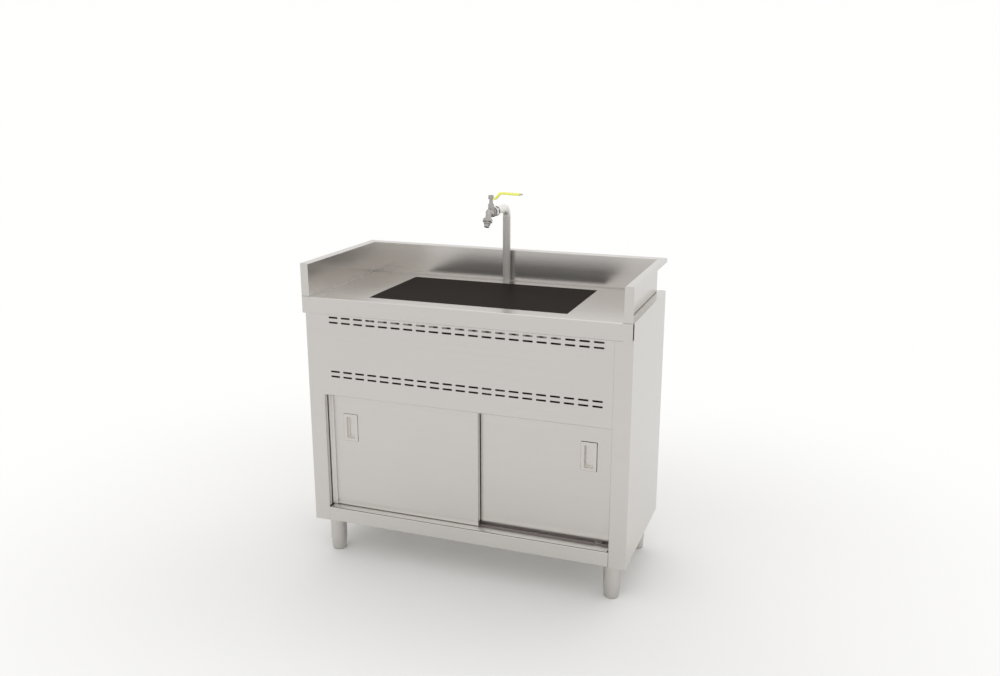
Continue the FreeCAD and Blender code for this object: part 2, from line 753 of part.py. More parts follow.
def base_gussets():
    """Corner plates that the legs are bolted up to."""
    inner = right - body_sheet
    plates = []
    for y0 in (face + body_sheet + bend, back - 2 * body_sheet - gusset):
        plate = block(inner - gusset, inner, y0, y0 + gusset, leg_plate_top,
                      leg_plate_top + plate_thickness)
        plates += both_sides(plate)
    return plates


def leg(centre):
    """Tube welded to its mounting plate."""
    low = foot_height + part_gap
    tube = ring(centre + Z * low, Z, leg_radius, leg_radius - leg_wall, leg_plate_low - low)
    half = leg_plate / 2
    plate = rounded_block(centre.x - half, centre.x + half, centre.y - half, centre.y + half,
                          leg_plate_low, leg_plate_top, leg_plate_corner)
    return joined([tube, plate])


def leg_insert(centre):
    low = foot_height + part_gap
    return ring(centre + Z * low, Z, leg_radius - leg_wall, foot_stud_radius + stud_clearance,
                insert_height)


def foot(centre):
    """Tapered adjustable foot with its threaded stud."""
    stud = foot_stud_radius
    end = foot_height + foot_stud_length
    points = [(0, 0), (foot_bottom_radius, 0), (foot_top_radius, foot_height - foot_rim),
              (foot_top_radius, foot_height), (stud, foot_height), (stud, end - stud_chamfer),
              (stud - stud_chamfer, end), (0, end)]
    solid = turned(points, centre, Z)
    return solid.makeFillet(foot_round, [e for e in solid.Edges if e.BoundBox.ZMax < 1e-6])


# ---------------------------------------------------------------- doors
# A door is drawn closed on the right, in the frame of its own outer edge, and then mirrored
# for the left. lane 0 is the front one.
def roller_places():
    return [door_end - roller_inset, door_end - door_width + roller_inset]


def cup_box(lane, grow):
    """The cup's inside in x and z, or the hole around it when grown."""
    x, z = door_end - handle_edge[lane], handle_centre
    return (x - handle_width / 2 + cup_border - grow, x + handle_width / 2 - cup_border + grow,
            z - handle_height / 2 + cup_border_bottom - grow,
            z + handle_height / 2 - cup_border + grow)


def door_skin(lane):
    """Outer pan of a door, with the hole for the handle and slots for the rollers."""
    y0 = front + door_y[lane]
    y1, t = y0 + door_thickness, door_sheet
    x0, x1, z0, z1 = door_end - door_width, door_end, door_bottom[lane], door_top
    pan = block(x0, x1, y0, y1, z0, z1)
    edges = [e for e in pan.Edges if abs(e.BoundBox.YMax - y0) < 1e-6]
    pan = pan.makeFillet(door_edge_radius, edges)
    pan = pan.cut(block(x0 + t, x1 - t, y0 + t, y1 + t, z0 + t, z1 - t))
    cx0, cx1, cz0, cz1 = cup_box(lane, cup_wall)
    pan = pan.cut(rounded_block(cx0, cx1, y0 - t, y0 + 2 * t, cz0, cz1, cup_corner + cup_wall, Y))
    half, span = axle_slot_half, cheek_span + cheek_clearance
    for x in roller_places():
        pan = pan.cut(block(x - half, x + half, lane_y[lane] - span, lane_y[lane] + span,
                            z0 - t, z0 + 2 * t))
    return pan


def door_liner(lane):
    y1, t = front + door_y[lane] + door_thickness, door_sheet
    return block(door_end - door_width + t, door_end - t, y1 - t, y1, door_bottom[lane] + t,
                 door_top - t)


def door_handle(lane):
    """Flush pull: a raised plate with rounded corners and a deep cup."""
    y0 = front + door_y[lane]
    x, z = door_end - handle_edge[lane], handle_centre
    plate = rounded_block(x - handle_width / 2, x + handle_width / 2, y0 - handle_proud, y0,
                          z - handle_height / 2, z + handle_height / 2, handle_corner, Y)
    rim = [e for e in plate.Edges if abs(e.BoundBox.YMax - plate.BoundBox.YMin) < 1e-6]
    plate = plate.makeChamfer(handle_bevel, rim)
    cx0, cx1, cz0, cz1 = cup_box(lane, cup_wall)
    shell = rounded_block(cx0, cx1, y0, y0 + cup_depth + cup_wall, cz0, cz1,
                          cup_corner + cup_wall, Y)
    cx0, cx1, cz0, cz1 = cup_box(lane, 0)
    cup = rounded_block(cx0, cx1, y0 - handle_proud - 1, y0 + cup_depth, cz0, cz1, cup_corner, Y)
    bottom = [e for e in cup.Edges if abs(e.BoundBox.YMin - cup.BoundBox.YMax) < 1e-6]
    cup = cup.makeChamfer(cup_bevel, bottom)
    return joined([plate, shell]).cut(cup)


def roller_bracket(lane, x):
    """Base plate in the door, two cheeks and the fixed axle between them."""
    y, t = lane_y[lane], track_sheet
    floor = door_bottom[lane] + door_sheet
    half, span = axle_slot_half, cheek_span
    reach, brim = half + bracket_reach, span + bracket_brim
    base = block(x - reach, x + reach, y - brim, y + brim, floor, floor + t)
    base = base.cut(block(x - half, x + half, y - span + t, y + span - t, floor, floor + t))
    web_z = max(axle_z + roller_radius + web_gap, floor + t)
    x0, x1 = x - cheek_length / 2, x + cheek_length / 2
    cheeks = [block(x0, x1, y0, y0 + t, axle_z - cheek_below, web_z + t)
              for y0 in (y - span, y + span - t)]
    web = block(x0, x1, y - span, y + span, web_z, web_z + t)
    axle = rod(V(x, y - span, axle_z), Y, axle_radius, 2 * span)
    return joined([base, web, axle] + cheeks)


def roller(lane, x):
    """Nylon wheel with a chamfered rim and a running bore."""
    r, half, cut = roller_radius, roller_width / 2, roller_chamfer
    bore = axle_radius + axle_clearance
    points = [(bore, -half), (r - cut, -half), (r, cut - half), (r, half - cut), (r - cut, half),
              (bore, half)]
    return turned(points, V(x, lane_y[lane], axle_z), Y)


def door_guide(lane, x):
    """Block on the door's top edge that runs in the upper track."""
    y = lane_y[lane]
    guide = block(x - guide_length / 2, x + guide_length / 2, y - guide_width / 2,
                  y + guide_width / 2, door_top, door_top + guide_height)
    return guide.makeFillet(guide_corner, along(guide, Z))


# ---------------------------------------------------------------- tap and supply
def tap_riser():
    """Tube through the worktop, bent forward to the tap."""
    points = [V(0, riser_y, worktop_height - riser_below), V(0, riser_y, tap_z),
              V(0, stem_y + riser_end, tap_z)]
    return pipe_of(points, riser_bend, riser_radius, riser_wall)


def pipe_of(points, bend_radius, radius, wall):
    solid = bent_rod(points, [bend_radius], radius)
    return solid.cut(bent_rod(points, [bend_radius], radius - wall))


def tap_fixings():
    """Washer and locknut under the worktop."""
    base = V(0, riser_y, under_top - washer_thickness)
    washer = ring(base, Z, washer_radius, riser_radius, washer_thickness)
    low = base - Z * locknut_height
    nut = hexagon(low, Z, locknut_flats, locknut_height)
    return [washer, nut.cut(rod(low, Z, riser_radius, locknut_height))]


def tap_coupling_nut():
    start, length, cut = V(0, stem_y + coupling_start, tap_z), coupling_length, coupling_bevel
    corner = coupling_flats / math.sqrt(3)
    bevel = turned([(0, 0), (corner - cut, 0), (corner, cut), (corner, length - cut),
                    (corner - cut, length), (0, length)], start, Y)
    nut = hexagon(start, Y, coupling_flats, length).common(bevel)
    return nut.cut(rod(start, Y, riser_radius, length))


def outlet_path():
    """Corner, direction and shoulder of the tap's outlet."""
    turn = math.radians(outlet_turn)
    corner = V(0, stem_y - outlet_corner, tap_z)
    direction = V(0, -math.cos(turn), -math.sin(turn))
    return corner, direction, corner + direction * outlet_reach


def tap_body():
    """Ball-valve body: domed barrel, seat ring, inlet spigot, stem boss and bent outlet."""
    centre = V(0, stem_y, tap_z)
    corner, direction, shoulder = outlet_path()
    inlet = turned([(0, -barrel_lead), (barrel_radius, -barrel_lead), (barrel_radius, 0),
                    (body_radius, 0), (body_radius, body_ring), (neck_radius, body_ring),
                    (neck_radius, coupling_start), (riser_radius, coupling_start),
                    (riser_radius, riser_end - part_gap), (0, riser_end - part_gap)], centre, Y)
    dome = Part.makeSphere(barrel_radius, centre - Y * barrel_lead)
    boss = rod(centre, Z, boss_radius, boss_height)
    end = shoulder + direction * (union_length - union_seat)
    arm = bent_rod([centre, corner, end], [outlet_bend], arm_radius)
    body = joined([inlet, dome, boss, arm])
    bore = bent_rod([centre + Y * riser_end, corner, end + direction], [outlet_bend],
                    waterway_radius)
    chamber = Part.makeSphere(ball_radius + part_gap, centre)
    return body.cut(bore).cut(chamber).cut(rod(centre, Z, gland_radius, boss_height))


def tap_gland():
    """Bonnet nut that holds the stem."""
    low, top = ball_radius + 1, lever_over_axis - part_gap
    cone = boss_height + gland_hex
    centre = V(0, stem_y, tap_z)
    spigot = rod(centre + Z * low, Z, gland_radius, boss_height - low)
    nut = hexagon(centre + Z * boss_height, Z, gland_flats, gland_hex)
    neck = Part.makeCone(gland_flats / 2, gland_collar, gland_cone, centre + Z * cone, Z)
    collar = rod(centre + Z * (cone + gland_cone), Z, gland_collar, top - cone - gland_cone)
    gland = joined([spigot, nut, neck, collar])
    return gland.cut(rod(centre, Z, stem_radius + stem_clearance, lever_over_axis))


def tap_ball():
    """Ball with a cross bore, made in one with its stem. The bore lies across the flow."""
    centre = V(0, stem_y, tap_z)
    bore = rod(centre - X * 2 * ball_radius, X, waterway_radius, 4 * ball_radius)
    low = (waterway_radius + ball_radius) / 2
    stem = rod(centre + Z * low, Z, stem_radius, lever_over_axis + lever_sheet + stem_above - low)
    return joined([Part.makeSphere(ball_radius, centre).cut(bore), stem])


def lever_path():
    high = lever_z + lever_rise
    return [V(0, stem_y, lever_z), V(lever_bend, stem_y, lever_z),
            V(lever_crank, stem_y, high), V(lever_length, stem_y, high - lever_droop)]


def lever_strip(path, thickness, breadth):
    strip = folded(path, Y * -1, thickness, Y * breadth, 2.0)
    return strip.translated(V(0, -breadth / 2, 0))


def tap_lever():
    """Cranked flat lever with a round eye over the stem."""
    base = V(0, stem_y, lever_z)
    lever = joined([lever_strip(lever_path(), lever_sheet, lever_width),
                    rod(base, Z, lever_eye, lever_sheet)])
    return lever.cut(rod(base, Z, stem_radius, lever_sheet))


def shifted(path, normal, distance):
    """A bent path moved sideways, corners included."""
    moved = []
    for i, point in enumerate(path):
        runs = [(path[j + 1] - path[j]).normalize() for j in (i - 1, i) if 0 <= j < len(path) - 1]
        sides = [normal.cross(run) for run in runs]
        side = (sides[0] + sides[-1]).normalize()
        moved.append(point + side * (distance / side.dot(sides[0])))
    return moved


def tap_grip():
    """Plastic sleeve over the lever, open at the tip."""
    _, low, high, tip = shifted(lever_path(), Y * -1, lever_sheet / 2)
    start, end = low - X * grip_lead, tip - X * grip_tip
    half_y, half_z = lever_width / 2 + grip_wall, lever_sheet / 2 + grip_wall
    corners = Part.makeBox(2 * half_z, 2 * half_y, 1, V(-half_z, -half_y, 0))
    corners = corners.makeFillet(grip_round, along(corners, Z))
    section = min(corners.Faces, key=lambda f: f.CenterOfMass.z).OuterWire
    section.Placement = FreeCAD.Placement(start, FreeCAD.Rotation(Z, low - start))
    sleeve = bent_bar([start, low, high, end], [grip_bend, grip_bend], section)
    return sleeve.cut(lever_strip(lever_path(), lever_sheet, lever_width))


def tap_lever_nut():
    base = V(0, stem_y, lever_z + lever_sheet)
    nut = hexagon(base, Z, lever_nut_flats, lever_nut_height)
    return nut.cut(rod(base, Z, stem_radius, lever_nut_height))


def tap_union_nut():
    """Round fluted nut on the outlet."""
    _, direction, shoulder = outlet_path()
    start = shoulder + direction * union_gap
    cut = union_bevel
    nut = turned([(0, 0), (union_radius - cut, 0), (union_radius, cut),
                  (union_radius, union_length - cut), (union_radius - cut, union_length),
                  (0, union_length)], start, direction)
    side = direction.cross(X)
    reach = union_radius + union_groove_radius - union_groove_depth
    for i in range(union_grooves):
        angle = 2 * math.pi * (i + 0.5) / union_grooves
        away = X * math.cos(angle) + side * math.sin(angle)
        nut = nut.cut(rod(start + away * reach, direction, union_groove_radius, union_length))
    nut = nut.cut(rod(start, direction, arm_radius, union_length - union_seat))
    return nut.cut(rod(start, direction, nozzle_neck + stem_clearance, union_length))


def tap_nozzle():
    """Hose nozzle with a barb, held in the union nut by its collar."""
    _, direction, shoulder = outlet_path()
    start = shoulder + direction * (union_length - union_seat)
    bore = nozzle_tail - nozzle_wall
    below = union_gap + union_seat + part_gap
    ring_end = below + nozzle_ring_length
    root = ring_end + union_gap
    barb = root + nozzle_barb_length
    tail = union_gap + union_seat + nozzle_length
    points = [(bore, 0), (nozzle_head, 0), (nozzle_head, union_gap), (nozzle_neck, union_gap),
              (nozzle_neck, below), (nozzle_ring, below), (nozzle_ring, ring_end),
              (nozzle_root, root), (nozzle_barb, barb), (nozzle_tail, barb + nozzle_barb_length),
              (nozzle_tail, tail), (bore, tail)]
    return turned(points, start, direction)


def supply_pipe():
    """Feed pipe from the back of the unit up to the riser."""
    points = [V(0, back, supply_z), V(0, riser_y, supply_z),
              V(0, riser_y, worktop_height - riser_below)]
    return pipe_of(points, supply_bend, supply_radius, supply_wall)


def supply_coupling():
    """Sleeve that takes the riser from above and the feed pipe from below."""
    half, middle = sleeve_length / 2, V(0, riser_y, worktop_height - riser_below)
    sleeve = hexagon(middle - Z * half, Z, sleeve_flats, sleeve_length)
    return sleeve.cut(rod(middle, Z, riser_radius, half)).cut(rod(middle, Z * -1, supply_radius, half))


# ---------------------------------------------------------------- assembly
def add(name, shape):
    solids = shape if isinstance(shape, list) else [shape]
    pieces[name] = solids[0] if len(solids) == 1 else Part.makeCompound(solids)


add("worktop", worktop())
add("worktop_stiffeners", stiffeners())
add("bowl_skirt", bowl_skirt())
add("sink_cover", sink_cover())
add("cover_pads", cover_pads())
add("sink_bowl", sink_bowl())
add("waste_fitting", waste_fitting())
add("waste_strainer", strainer())
add("waste_gasket", waste_gasket())
add("waste_backnut", waste_backnut())
add("trap_body", trap_body())
add("trap_cup", trap_cup())
add("trap_nuts", trap_nuts())
add("waste_pipe", waste_pipe())

right_panel = side_panel()
add("side_panel_right", right_panel)
add("side_panel_left", mirrored(right_panel))
add("back_panel", back_panel())
add("base_pan", base_pan())
add("vent_panel", vent_panel())
add("door_track_lower", door_track_lower())
add("door_track_upper", door_track_upper())
add("door_jambs", door_jambs())
add("door_bumpers", door_bumpers())
add("base_gussets", base_gussets())
for place, centre in leg_places():
    add("leg_" + place, leg(centre))
    add("foot_" + place, foot(centre))
add("leg_inserts", [leg_insert(centre) for _, centre in leg_places()])

for name, lane, side in (("door_left", 0, mirrored), ("door_right", 1, lambda shape: shape)):
    add(name + "_skin", side(door_skin(lane)))
    add(name + "_liner", side(door_liner(lane)))
    add(name + "_handle", side(door_handle(lane)))
    add(name + "_roller_brackets", [side(roller_bracket(lane, x)) for x in roller_places()])
    add(name + "_guides", [side(door_guide(lane, x)) for x in roller_places()])
    for end, x in zip(("outer", "inner"), roller_places()):
        add(name + "_roller_" + end, side(roller(lane, x)))

add("tap_riser", tap_riser())
add("tap_fixings", tap_fixings())
add("tap_coupling_nut", tap_coupling_nut())
add("tap_body", tap_body())
add("tap_gland", tap_gland())
add("tap_ball", tap_ball())
add("tap_lever", tap_lever())
add("tap_grip", tap_grip())
add("tap_lever_nut", tap_lever_nut())
add("tap_union_nut", tap_union_nut())
add("tap_nozzle", tap_nozzle())
add("supply_pipe", supply_pipe())
add("supply_coupling", supply_coupling())

os.makedirs("parts", exist_ok=True)
for name, shape in pieces.items():
    shape.exportStep(os.path.join("parts", name + ".step"))
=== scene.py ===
import json
import math

import bmesh
import bpy
from mathutils import Matrix, Vector


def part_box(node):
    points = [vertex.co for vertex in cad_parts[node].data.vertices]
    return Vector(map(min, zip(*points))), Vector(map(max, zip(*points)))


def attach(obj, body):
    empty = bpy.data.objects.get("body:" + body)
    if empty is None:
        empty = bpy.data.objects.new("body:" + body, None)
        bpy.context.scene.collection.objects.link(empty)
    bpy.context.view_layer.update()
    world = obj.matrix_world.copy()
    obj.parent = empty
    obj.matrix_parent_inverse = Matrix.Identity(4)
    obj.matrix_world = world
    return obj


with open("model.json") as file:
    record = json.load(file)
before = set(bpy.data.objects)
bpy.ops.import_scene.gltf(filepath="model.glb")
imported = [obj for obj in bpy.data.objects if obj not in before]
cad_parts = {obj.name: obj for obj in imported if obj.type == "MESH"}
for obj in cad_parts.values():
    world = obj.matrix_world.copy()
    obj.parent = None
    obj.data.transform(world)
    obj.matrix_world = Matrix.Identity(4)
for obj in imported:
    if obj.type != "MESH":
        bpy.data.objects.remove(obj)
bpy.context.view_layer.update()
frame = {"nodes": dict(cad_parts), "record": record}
scene = bpy.context.scene
nodes = frame["nodes"]


# ---------------------------------------------------------------- sizes, in metres
# the cupboard
side_low, side_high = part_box("side_panel_right")
FRONT, REAR = side_low.y, side_high.y
JAMB, HALF_WIDTH = side_low.x, side_high.x        # the doorway's side, and the unit's
COLUMN_BACK = FRONT + 0.015          # where a column's fold into the cupboard ends
SILL = 0.163
DOORWAY_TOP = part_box("vent_panel")[0].z
PANEL_TOP = side_high.z
END_GAP = 0.0005                     # between an upright piece's end and the doorway's top
SIGN = {"left": -1, "right": 1}
SEAT = 0.00002                       # between a piece and the sheet that it lies on
JOINT_DEPTH = 0.0006                 # how far behind the front sheets a joint lies

# the inside folds of the worktop tray, where shade is painted in: where each begins, and where it
# is fully there
FOLD_SIDE = (0.4712, 0.4722)
FOLD_REAR = (0.1987, 0.1997)
FOLD_LOW = (0.8385, 0.8395)
FOLD_HIGH = (0.8420, 0.8432)

# legs, feet and the bolts over them
LEGS = ("front_left", "front_right", "rear_left", "rear_right")
LEG_RADIUS = 0.0254
WELD_LEVEL = 0.1189
WELD_BEAD = 0.0016
BOLT_REACH = 0.032                   # from the middle of a leg, both ways
BOLT_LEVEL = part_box("base_gussets")[1].z
WASHER_RADIUS, WASHER_HEIGHT = 0.0085, 0.0016
HEAD_FLATS, HEAD_HEIGHT = 0.013, 0.0053
HEAD_TURN = math.radians(15)
HEAD_EASING = 0.0007
FOOT_TOP = 0.0362                    # where the foot's stud begins
SCUFF_HEIGHT = 0.012
THREAD_PITCH = 0.002

# black rubber rings around the pulls, set off centre: rubber whose dark also stands in for painted
# shade along the pulls' upper and right edges
SHADE_RING_CORNER, SHADE_RING_BAND, SHADE_RING_HEIGHT = 0.0028, 0.003, 0.0009
SHADE_RING_NEAR = 0.0004                              # past the pull's left and lower edges
SHADE_RING_FAR = {"left": 0.0005, "right": 0.0012}    # past its right and upper edges

# the tap
BEND_HIGHLIGHT = (1.044, 1.062)         # heights between which the painted highlight on the riser's bend sets in
RING_RADIUS, RING_HEIGHT, RING_EASING = 0.0152, 0.0026, 0.0007
RING_FRONT, RING_REAR = 0.0008, 0.0012            # behind the nut's two ends

# the pipe opening and the rivets of the back
SERVICE_HALF, SERVICE_LOW, SERVICE_HIGH = 0.090, 0.460, 0.650
EDGING_OVERLAP, EDGING_RISE = 0.0030, 0.0014
EDGING_CORNER, EDGING_BAND, EDGING_EASING = 0.023, 0.0045, 0.0006
RIVET_X, RIVET_LOW, RIVET_PITCH = 0.4840, 0.131, 0.135
RIVET_ROWS = 6                       # up each side
RIVET_REACH = 3                      # along the foot, to each side of the middle one
RIVET_LEVEL = REAR + 0.0005
RIVET_RADIUS, RIVET_TOP, RIVET_HEIGHT, RIVET_EASING = 0.0040, 0.0024, 0.0011, 0.0006

# behind the columns and on the sill
LINING_FRONT, LINING_BACK = -0.1888, -0.1829
POCKET_HEIGHTS = (SILL + 0.0012, DOORWAY_TOP - END_GAP)
LIP_HEIGHT = 0.0005
UPRIGHT_EASING = 0.0002
TAPE_HEIGHT, STRIP_HEIGHT = 0.0004, 0.0005
SILL_CORNER, SILL_EASING = 0.002, 0.0001

CREASE = math.radians(35)            # edges turned further than this stay sharp
TO_FRONT, TO_REAR = math.radians(90), math.radians(-90)


# ---------------------------------------------------------------- shader maths
class Signal:
    """A socket's value in a node tree, so that shader maths reads as maths."""

    def __init__(self, tree, socket):
        self.tree, self.socket = tree, socket

    def maths(self, operation, *others, clamp=False):
        values = dict(enumerate((self,) + others))
        return self.tree.add("Math", {"operation": operation, "use_clamp": clamp}, values)

    def __add__(self, other):
        return self.maths("ADD", other)

    def __radd__(self, other):
        return self.maths("ADD", other)

    def __sub__(self, other):
        return self.maths("SUBTRACT", other)

    def __rsub__(self, other):
        return self.tree.add("Math", {"operation": "SUBTRACT"}, {0: other, 1: self})

    def __mul__(self, other):
        return self.maths("MULTIPLY", other)

    def __rmul__(self, other):
        return self.maths("MULTIPLY", other)

    def __gt__(self, other):
        return self.maths("GREATER_THAN", other)

    def __abs__(self):
        return self.maths("ABSOLUTE")

    def clamped(self):
        return self.maths("ADD", 0.0, clamp=True)

    def beyond(self, level):
        """How far a number is past a level, either way from zero."""
        return (abs(self) - level).maths("MAXIMUM", 0.0)

    def part(self, axis):
        return self.tree.add("SeparateXYZ", {}, {"Vector": self}, axis)

    def rise(self, low, high):
        """0 below low, 1 above high, smooth between."""
        return self.tree.add("MapRange", {"interpolation_type": "SMOOTHSTEP"},
                             {"Value": self, "From Min": low, "From Max": high})


class Tree:
    """A node tree that is built node by node."""

    def __init__(self, node_tree):
        self.tree = node_tree
        self.tree.nodes.clear()

    def add(self, kind, settings, sockets, output=0):
        """One node: its settings first, then its sockets' values or links."""
        node = self.tree.nodes.new("ShaderNode" + kind)
        for key, value in settings.items():
            setattr(node, key, value)
        for key, value in sockets.items():
            if isinstance(value, Signal):
                self.tree.links.new(value.socket, node.inputs[key])
            else:
                node.inputs[key].default_value = value
        return Signal(self, node.outputs[output]) if node.outputs else None

    def spot(self):
        return self.add("TexCoord", {}, {}, "Object")

    def facing(self):
        return self.add("TexCoord", {}, {}, "Normal")

    def ray(self, kind):
        """1 for rays of one kind, such as Camera or Glossy, and 0 for the others."""
        return self.add("LightPath", {}, {}, f"Is {kind} Ray")

    def scaled(self, vector, scale):
        return self.add("Mapping", {}, {"Vector": vector, "Scale": scale})

    def noise(self, vector, scale, detail=2.0, rough=0.5):
        return self.add("TexNoise", {}, {"Vector": vector, "Scale": scale, "Detail": detail,
                                         "Roughness": rough})

    def blend(self, factor, first, second):
        """A number that goes from first to second."""
        return self.add("Mix", {"data_type": "FLOAT"}, {0: factor, 2: first, 3: second})

    def tint(self, factor, first, second):
        """A colour that goes from first to second."""
        return self.add("Mix", {"data_type": "RGBA"}, {0: factor, 6: first, 7: second}, 2)

    def relief(self, height, strength, distance, **onto):
        """Small ups and downs. Normal, where it is given, is the relief that carries them."""
        return self.add("Bump", {}, {"Height": height, "Strength": strength, "Distance": distance,
                                     **onto})


class Finish(Tree):
    """A material around one Principled shader."""

    def __init__(self, name):
        self.material = bpy.data.materials.new(name)
        self.material.use_nodes = True
        super().__init__(self.material.node_tree)

    def surface(self, **sockets):
        names = {key.replace("_", " "): value for key, value in sockets.items()}
        shader = self.add("BsdfPrincipled", {}, names, "BSDF")
        self.add("OutputMaterial", {}, {"Surface": shader})
        return self.material


def colour(red, green, blue):
    return (red, green, blue, 1.0)


def shade(base, amount):
    return tuple(min(1.0, c * amount) for c in base[:3]) + (1.0,)


# ---------------------------------------------------------------- kinds of finish
def sheet_steel(name, base, roughness, grain=1.0, painted_light_mask=None, painted_light_change=1.0):
    """Satin sheet: fine grain along the sheet, long faint streaks and soft clouds.

    The last two arguments give where light or shade is painted into the colour,
    from 0 to 1, and how much lighter or darker it is painted there.
    """
    steel = Finish(name)
    spot = steel.spot()
    faces_sideways = abs(steel.facing().part("X")) > 0.7

    def belt_marks(scale, detail):
        """Noise drawn out along X on most faces, and along Z on those that face sideways."""
        flat, turned = (steel.noise(steel.scaled(spot, drawn_out), scale, detail, 0.6)
                        for drawn_out in ((1.0, 60.0, 60.0), (60.0, 60.0, 1.0)))
        return steel.blend(faces_sideways, flat, turned)

    fine, streak = belt_marks(12.0, 3.0), belt_marks(1.6, 2.0)
    cloud = steel.noise(spot, 3.2, 3.0, 0.55)
    tone = (0.5 + 0.3 * grain * (fine - 0.5) + 0.5 * grain * (streak - 0.5)
            + 0.6 * (cloud - 0.5)).clamped()
    skin = steel.tint(tone, shade(base, 0.96), shade(base, 1.04))
    gloss = roughness + 0.05 * (cloud - 0.5) + 0.04 * grain * (streak - 0.5)
    # painted light or shade: the colour is made lighter or darker where the mask is given
    if painted_light_mask:
        place = painted_light_mask(steel)
        skin = steel.tint(place, skin, shade(base, painted_light_change))
        gloss = steel.blend(place, gloss, 0.6)
    return steel.surface(
        Base_Color=skin,
        Metallic=1.0,
        Roughness=gloss,
        Normal=steel.relief(fine, 0.02 * grain, 0.0004))


def drawn_steel(name, base, roughness, axis, metallic=1.0, painted_light_mask=None, painted_light_change=1.0):
    """Tube or bar: lines along its length and faint rings of handling marks."""
    steel = Finish(name)
    spot = steel.spot()
    lines = steel.noise(steel.scaled(spot, tuple(4.0 if a == axis else 260.0 for a in "XYZ")),
                        1.0, 2.0, 0.6)
    cloud = steel.noise(spot, 14.0, 3.0, 0.6)
    tone = (0.5 + 0.5 * (lines - 0.5) + 0.5 * (cloud - 0.5)).clamped()
    skin = steel.tint(tone, shade(base, 0.95), shade(base, 1.05))
    # painted light or shade: the colour is made lighter or darker where the mask is given
    if painted_light_mask:
        skin = steel.tint(painted_light_mask(steel), skin, shade(base, painted_light_change))
    return steel.surface(
        Base_Color=skin,
        Metallic=metallic,
        Roughness=roughness + 0.08 * (cloud - 0.5),
        Normal=steel.relief(lines, 0.05, 0.0002))


def plated(name, base, roughness):
    """Plated casting or fitting: fine pebble under the plate, dulled in patches."""
    metal = Finish(name)
    spot = metal.spot()
    pebble = metal.noise(spot, 900.0, 2.0, 0.5)
    patch = metal.noise(spot, 45.0, 3.0, 0.6)
    return metal.surface(
        Base_Color=metal.tint(patch, shade(base, 0.94), shade(base, 1.06)),
        Metallic=1.0,
        Roughness=roughness + 0.12 * (patch - 0.5),
        Normal=metal.relief(pebble, 0.03, 0.0002))


def moulded(name, base, roughness, pebble_scale, depth, coat=0.0):
    """Moulded or dipped plastic, or rubber."""
    plastic = Finish(name)
    spot = plastic.spot()
    pebble = plastic.noise(spot, pebble_scale, 3.0, 0.55)
    patch = plastic.noise(spot, 18.0, 3.0, 0.6)
    return plastic.surface(
        Base_Color=plastic.tint(patch, shade(base, 0.9), shade(base, 1.1)),
        Roughness=roughness + 0.12 * (patch - 0.5),
        Coat_Weight=coat,
        Normal=plastic.relief(pebble, depth, 0.0003))


def cover_board():
    """Black resin board, satin, with pale specks, faint wiping marks and a dry haze."""
    board = Finish("cover_board")
    spot = board.spot()
    speck = board.noise(spot, 700.0, 1.0, 0.4).rise(0.68, 0.76)
    wipe = board.noise(board.scaled(spot, (1.0, 14.0, 14.0)), 4.0, 3.0, 0.6)
    haze = board.noise(spot, 5.0, 3.0, 0.6)
    dark = board.tint(haze, colour(0.0208, 0.0170, 0.0144), colour(0.0252, 0.0208, 0.0178))
    return board.surface(
        Base_Color=board.tint(speck * 0.2, dark, colour(0.04, 0.035, 0.03)),
        Roughness=0.48 + 0.06 * (wipe - 0.5) + 0.06 * (haze - 0.5),
        IOR=1.055,
        Normal=board.relief(wipe, 0.02, 0.0003))


def turned_foot(base, stud_steel):
    """Turned foot, dulled low down where it is scuffed, on a stud with a rolled thread."""
    foot = Finish("levelling_foot")
    spot = foot.spot()
    height = spot.part("Z")
    stud = height > FOOT_TOP
    lathe = foot.noise(foot.scaled(spot, (3.0, 3.0, 900.0)), 1.0, 2.0, 0.6)
    patch = foot.noise(spot, 30.0, 3.0, 0.6)
    scuff = (1.0 - height.rise(0.0, SCUFF_HEIGHT)) * patch
    body = foot.tint((0.5 + 0.5 * (lathe - 0.5) + 0.5 * (patch - 0.5)).clamped(),
                     shade(base, 0.94), shade(base, 1.04))
    dulled = foot.tint(scuff * 0.5, body, shade(base, 0.6))
    thread = (height * (math.tau / THREAD_PITCH)).maths("SINE")
    return foot.surface(
        Base_Color=foot.tint(stud, dulled, stud_steel),
        Metallic=1.0,
        Roughness=foot.blend(stud, 0.34 + 0.2 * scuff, 0.28),
        Normal=foot.relief(stud * thread, 0.6, 0.0008, Normal=foot.relief(lathe, 0.04, 0.0002)))


# ---------------------------------------------------------------- places given painted light or shade
def painted_fold_shade(steel):
    """Along the tray's inside corners: painted shade, darkening the steel where the corners shade
    it.
    """
    spot = steel.spot()
    side = abs(spot.part("X")).rise(*FOLD_SIDE)
    rear = spot.part("Y").rise(*FOLD_REAR)
    height = spot.part("Z")
    low = height.rise(*FOLD_LOW) * (1.0 - height.rise(*FOLD_HIGH))
    return side.maths("MAXIMUM", rear) * low


def painted_wall_light(steel):
    """The walls of the pull's cup, turned away from its face: painted light, lightening them
    against the shade in the cup.
    """
    return 1.0 - abs(steel.facing().part("Y")).rise(0.5, 0.9)


def painted_bend_highlight(steel):
    """The tube's bend, lightened as a painted highlight where it faces up to the light."""
    return steel.spot().part("Z").rise(*BEND_HIGHLIGHT)


# ---------------------------------------------------------------- finishes
STEEL = colour(0.643, 0.620, 0.594)
LEG_STEEL = colour(0.60, 0.58, 0.555)
PIPE_STEEL = colour(0.57, 0.553, 0.535)
STUD_STEEL = colour(0.62, 0.625, 0.61)

